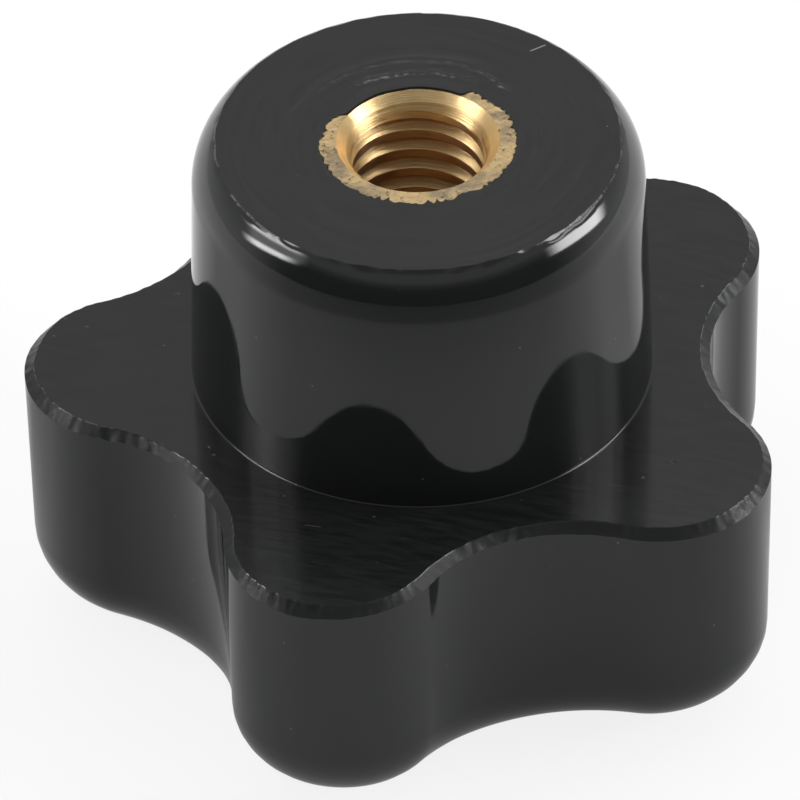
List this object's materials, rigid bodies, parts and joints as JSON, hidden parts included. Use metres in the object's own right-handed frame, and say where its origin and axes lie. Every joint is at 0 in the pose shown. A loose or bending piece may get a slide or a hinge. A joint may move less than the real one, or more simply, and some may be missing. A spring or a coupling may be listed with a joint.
{
  "type": "star knob",
  "caption": "Lobed black phenolic clamping knob with a round hub and a flush knurled brass bush that has a blind metric thread.",
  "frame": {"origin": "middle of the small flat on the grip's crown, which the knob stands on", "axes": "+Z along the thread's axis towards its mouth, -Y through the tip of one lobe, +X to the right"},
  "size_m": [0.0392, 0.0379, 0.0294],
  "materials": {
    "phenolic": "glossy black moulding with a satin, machined hub end and parting face",
    "brass": "bright turned brass, rough where the knurl was faced"
  },
  "bodies": {
    "root": {"knob_body": "phenolic", "threaded_insert": "brass"}
  },
  "joints": []
}
